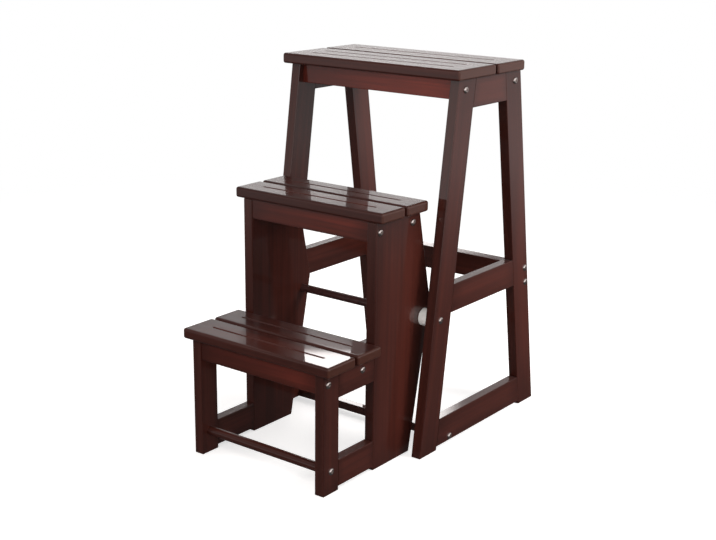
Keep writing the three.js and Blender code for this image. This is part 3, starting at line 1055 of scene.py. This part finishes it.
@dataclass(frozen=True)
class Hardware(SubAssembly):
    """Chrome bolts and nylon spacers.

    Attributes:
        head_rim: Height of the bolt head's rim.
        land_share: Radius of the flat on top of the head, as a share of the head's.
        socket_share: Half the socket's width, as a share of the head's radius.
        socket_depth: Depth of the socket.
        head_height: Height of the head.
        shank_radius: Radius of the shank.
        chamfer: Chamfer of the shank's tip.
        dome_steps: Number of stretches in the head's dome.
        flats: Number of flats of the socket.
        sides: Number of points round a bolt.
        spacer_bore_gap: Gap between the pivot rod and a spacer's bore.
        spacer_chamfer: Chamfer of a spacer's edges.
        spacer_sides: Number of points round a spacer.
    """

    head_rim: float = 0.5 * MM
    land_share: float = 0.56
    socket_share: float = 0.38
    socket_depth: float = 2 * MM
    head_height: float = 3.2 * MM
    shank_radius: float = 3 * MM
    chamfer: float = 1 * MM
    dome_steps: int = 8
    flats: int = 6
    sides: int = 48
    spacer_bore_gap: float = 0.35 * MM
    spacer_chamfer: float = 0.8 * MM
    spacer_sides: int = 64

    def build(self) -> None:
        """Builds every bolt and both spacers."""
        for node in sorted(self.shop.body_of):
            if node.endswith("_bolt"):
                self._bolt(node)
            elif node.endswith("_spacer"):
                self._spacer(node)

    def _bolt(self, node: str) -> None:
        """Turns one bolt: a shank, a domed head that follows an ellipse, and a socket with flats.

        Args:
            node: The node's name.
        """
        shape = self.shop.shape(node)
        side = math.copysign(1.0, shape.middle[0])
        radius = shape.size[2] / 2
        length = shape.size[0] - self.head_height
        land = self.land_share * radius
        socket = self.socket_share * radius
        start = math.acos(self.land_share)
        turn = np.linspace(0, start, self.dome_steps + 1)
        dome_height = (self.head_height - self.head_rim) / math.sin(start)
        dome = np.stack([self.head_rim + dome_height * np.sin(turn), radius * np.cos(turn)], axis=-1)
        profile = np.concatenate([
            [[-length, self.shank_radius - self.chamfer], [self.chamfer - length, self.shank_radius],
             [0.0, self.shank_radius], [0.0, radius]],
            dome,
            [[self.head_height, (land + socket) / 2], [self.head_height, socket],
             [self.head_height - self.socket_depth, socket]],
        ])
        rows = len(profile)
        shell = turned_shell(profile, self.sides, facets=self.flats, facet_rows=(rows - 2, rows - 1))
        shell.points *= [side, 1.0, 1.0]
        seat = shape.high[0] - self.head_height if side > 0 else shape.low[0] + self.head_height
        shell = moved(shell, np.array([seat, *shape.middle[1:]]))
        self.shop.finish(node, shell, self.shop.finishes.chrome, Slot.CHROME)

    def _spacer(self, node: str) -> None:
        """Turns one spacer, a tube whose outer edges are chamfered.

        Args:
            node: The node's name.
        """
        shape = self.shop.shape(node)
        half, outer = shape.size[0] / 2, shape.size[2] / 2
        inner = self.shop.shape("pivot_rod").size[2] / 2 + self.spacer_bore_gap
        cut = self.spacer_chamfer
        profile = np.array([
            [-half, inner], [-half, outer - cut], [cut - half, outer],
            [half - cut, outer], [half, outer - cut], [half, inner],
        ])
        shell = moved(turned_shell(profile, self.spacer_sides, hollow=True), shape.middle)
        self.shop.finish(node, shell, self.shop.finishes.nylon, Slot.NYLON)


class Way(Enum):
    """Directions in the room: up, to the stool's right, and behind and aside as the camera's bearing goes."""

    UP = "up"
    RIGHT = "right"
    BEHIND = "behind"
    ASIDE = "aside"


@dataclass(frozen=True)
class Glow:
    """A soft light in the room that lacquer and chrome mirror.

    Attributes:
        strength: Its strength.
        edges: Each of its edges, as a direction and the two shares of it between which the light comes up.
    """

    strength: float
    edges: tuple[tuple[Way, float, float], ...] = ()

    def shine(self, sheet: NodeSheet, ways: dict[Way, bpy.types.NodeSocket]) -> Feed:
        """Bounds the light by its edges.

        Args:
            sheet: The world's sheet.
            ways: How far a direction points each way, from -1 to 1.

        Returns:
            Its strength in that direction.
        """
        product = self.strength
        for way, dark, full in self.edges:
            product = sheet.times(product, sheet.ramp(ways[way], dark, full))
        return product


BACK_WALL = (Way.BEHIND, 0.0, 0.8)
ROOM = {
    "all round": Glow(0.22),
    "back wall": Glow(0.11, (BACK_WALL,)),
    "back wall below the eaves": Glow(0.11, (BACK_WALL, (Way.UP, 0.39, 0.34))),
    "back wall near the floor": Glow(0.33, (BACK_WALL, (Way.UP, 0.30, 0.235))),
    "front wall": Glow(0.8, ((Way.BEHIND, -0.1, -0.4), (Way.UP, 0.30, 0.10))),
    "right wall": Glow(0.75, ((Way.RIGHT, 0.45, 0.75), (Way.UP, -0.05, 0.15))),
    "window in the back wall": Glow(5.5, (
        (Way.BEHIND, 0.0, 0.1), (Way.UP, 0.335, 0.339), (Way.UP, 0.50, 0.48),
        (Way.ASIDE, -0.072, -0.066), (Way.ASIDE, 0.085, 0.060))),
}


@dataclass(frozen=True)
class Lamp:
    """A soft rectangular lamp.

    Attributes:
        name: The lamp's name.
        eye: Its place.
        size: Its width and height.
        power: Its power in watts.
        colour: Its colour.
        aim: The place it faces.
        spread: The angle in degrees that its light fills.
    """

    name: str
    eye: tuple[float, float, float]
    size: tuple[float, float]
    power: float
    colour: Colour = (1.0, 0.97, 0.96)
    aim: tuple[float, float, float] = (0.0, 0.0, 0.3)
    spread: float = 180.0

    def hang(self) -> None:
        """Hangs the lamp where neither the camera nor a mirror sees it."""
        lamp = bpy.data.lights.new(self.name, "AREA")
        lamp.shape = "RECTANGLE"
        lamp.size, lamp.size_y = self.size
        lamp.energy = self.power
        lamp.color = self.colour
        lamp.spread = math.radians(self.spread)
        holder = bpy.data.objects.new(self.name, lamp)
        holder.location = self.eye
        holder.visible_glossy = False
        holder.visible_camera = False
        holder.rotation_euler = (Vector(self.aim) - Vector(self.eye)).to_track_quat("-Z", "Y").to_euler()
        bpy.context.scene.collection.objects.link(holder)


@dataclass(frozen=True)
class Studio:
    """Pale floor, soft light and the photograph's camera.

    Attributes:
        azimuth: The camera's bearing in degrees, 0 looking along +Y.
        elevation: The camera's height above the horizon in degrees.
        roll: The camera's turn about its own axis in degrees.
        eye: The camera's place.
        lens: Its focal length in millimetres.
        sensor: Its sensor's width in millimetres.
        floor_size: Width of the floor.
        floor_level: Height of the floor's top, just under the feet.
        floor_colour: Colour of the floor.
        floor_lift: Strength that the camera sees on the floor beside its light.
        floor_edge: Distances between which the floor turns plain white to the camera.
        sheen: Strength of the floor in lacquer and chrome, near by and what it gains far away.
        sheen_edge: Distances between which it gains that.
        sheen_colour: Its colour there.
        sky: Strength of the world as a light.
        sky_colour: Colour of that light.
        room_colour: Colour of the room in lacquer and chrome.
        lamps: The lamps.
    """

    azimuth: float = 37.34
    elevation: float = 16.01
    roll: float = 0.66
    eye: tuple[float, float, float] = (1.2969, -1.7230, 0.9035)
    lens: float = 64.22
    sensor: float = 36.0
    floor_size: float = 30.0
    floor_level: float = -0.1 * MM
    floor_colour: Colour = (0.8, 0.79, 0.78)
    floor_lift: float = 0.62
    floor_edge: Edge = (0.8, 2.2)
    sheen: tuple[float, float] = (0.06, 0.43)
    sheen_edge: Edge = (0.8, 3.0)
    sheen_colour: Colour = (1.0, 0.96, 0.96)
    sky: float = 0.3
    sky_colour: Colour = (1.0, 0.98, 0.97)
    room_colour: Colour = (1.0, 0.96, 0.95)
    lamps: tuple[Lamp, ...] = (
        Lamp("window_left", (-2.2, -2.2, 2.6), (2.0, 2.0), 14.0, colour=(1.0, 0.97, 0.95)),
        Lamp("window_front", (0.5, -1.45, 1.15), (1.4, 0.9), 12.5, colour=(1.0, 0.96, 0.94)),
        Lamp("window_right", (2.0, 0.8, 1.3), (1.1, 1.0), 8.2, aim=(0.17, 0.6, 0.35), spread=60.0),
        Lamp("window_behind", (-1.6, 3.0, 1.8), (2.4, 1.8), 30.0),
    )

    def build(self) -> None:
        """Builds the camera, the floor, the world and the lamps."""
        self._camera()
        self._floor()
        self._world()
        for lamp in self.lamps:
            lamp.hang()

    def _camera(self) -> None:
        """Makes the camera look along its bearing, then rolls it."""
        bearing, height, roll = (math.radians(angle) for angle in (self.azimuth, self.elevation, self.roll))
        ahead = Vector((-math.sin(bearing) * math.cos(height), math.cos(bearing) * math.cos(height),
                        -math.sin(height)))
        right = Vector((math.cos(bearing), math.sin(bearing), 0.0))
        up = right.cross(ahead)
        across = right * math.cos(roll) + up * math.sin(roll)
        above = up * math.cos(roll) - right * math.sin(roll)
        camera = bpy.data.objects.new("camera", bpy.data.cameras.new("camera"))
        camera.data.lens = self.lens
        camera.data.sensor_width = self.sensor
        turned = Matrix((across, above, -ahead)).transposed().to_4x4()
        camera.matrix_world = Matrix.Translation(self.eye) @ turned
        bpy.context.scene.collection.objects.link(camera)
        bpy.context.scene.camera = camera

    def _floor(self) -> None:
        """Makes the floor, which the camera sees as white with the stool's soft shadow on it."""
        half = self.floor_size / 2
        corners = [(x * half, y * half, self.floor_level) for x, y in ((-1, -1), (1, -1), (1, 1), (-1, 1))]
        mesh = bpy.data.meshes.new("floor")
        mesh.from_pydata(corners, [], [(0, 1, 2, 3)])
        material, sheet = new_material("pale_floor")
        rays = sheet.add("ShaderNodeLightPath").outputs
        place = sheet.add("ShaderNodeTexCoord").outputs["Object"]
        reach = sheet.add("ShaderNodeVectorMath", {0: place}, operation="LENGTH").outputs["Value"]
        matt = sheet.add("ShaderNodeBsdfDiffuse", {"Color": (*self.floor_colour, 1.0)}).outputs[0]
        lift = sheet.light("ShaderNodeEmission", WHITE, sheet.times(rays["Is Camera Ray"], self.floor_lift))
        near = sheet.add("ShaderNodeAddShader", {0: matt, 1: lift}).outputs[0]
        far = sheet.light("ShaderNodeEmission", WHITE, 1.0)
        away = sheet.times(sheet.ramp(reach, *self.floor_edge), rays["Is Camera Ray"])
        near_sheen, gain = self.sheen
        sheen = sheet.plus(sheet.times(sheet.ramp(reach, *self.sheen_edge), gain), near_sheen)
        gloss = sheet.light("ShaderNodeEmission", self.sheen_colour, sheen)
        seen = sheet.choose(away, near, far)
        sheet.add("ShaderNodeOutputMaterial", {"Surface": sheet.choose(rays["Is Glossy Ray"], seen, gloss)})
        mesh.materials.append(material)
        floor = bpy.data.objects.new("floor", mesh)
        bpy.context.scene.collection.objects.link(floor)

    def _world(self) -> None:
        """Makes the world: white to the camera, a soft light, and a room to lacquer and chrome."""
        world = bpy.data.worlds.new("studio")
        bpy.context.scene.world = world
        world.use_nodes = True
        sheet = NodeSheet(world.node_tree)
        rays = sheet.add("ShaderNodeLightPath").outputs
        way = sheet.split(sheet.add("ShaderNodeTexCoord").outputs["Generated"])
        bearing = math.radians(self.azimuth)
        sine, cosine = math.sin(bearing), math.cos(bearing)
        ways = {
            Way.UP: way["Z"],
            Way.RIGHT: way["X"],
            Way.BEHIND: sheet.maths("SUBTRACT", sheet.times(way["Y"], cosine), sheet.times(way["X"], sine)),
            Way.ASIDE: sheet.plus(sheet.times(way["X"], cosine), sheet.times(way["Y"], sine)),
        }
        room = 0.0
        for glow in ROOM.values():
            room = sheet.plus(room, glow.shine(sheet, ways))
        plain = sheet.light("ShaderNodeBackground", self.sky_colour, self.sky)
        gloss = sheet.light("ShaderNodeBackground", self.room_colour, room)
        white = sheet.light("ShaderNodeBackground", WHITE, 1.0)
        unseen = sheet.choose(rays["Is Glossy Ray"], plain, gloss)
        sheet.add("ShaderNodeOutputWorld", {"Surface": sheet.choose(rays["Is Camera Ray"], unseen, white)})


def main() -> None:
    """Loads the frame, builds the studio and every piece."""
    logging.basicConfig(level=logging.INFO, format="%(message)s")
    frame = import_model()
    scene = bpy.context.scene
    scene.view_settings.view_transform = "Standard"
    shop = Workshop(frame, Finishes())
    Studio().build()
    for kind in (SideBoards, Panels, Treads, CrossMembers, Hardware):
        kind(shop).build()


if __name__ == "__main__":
    main()
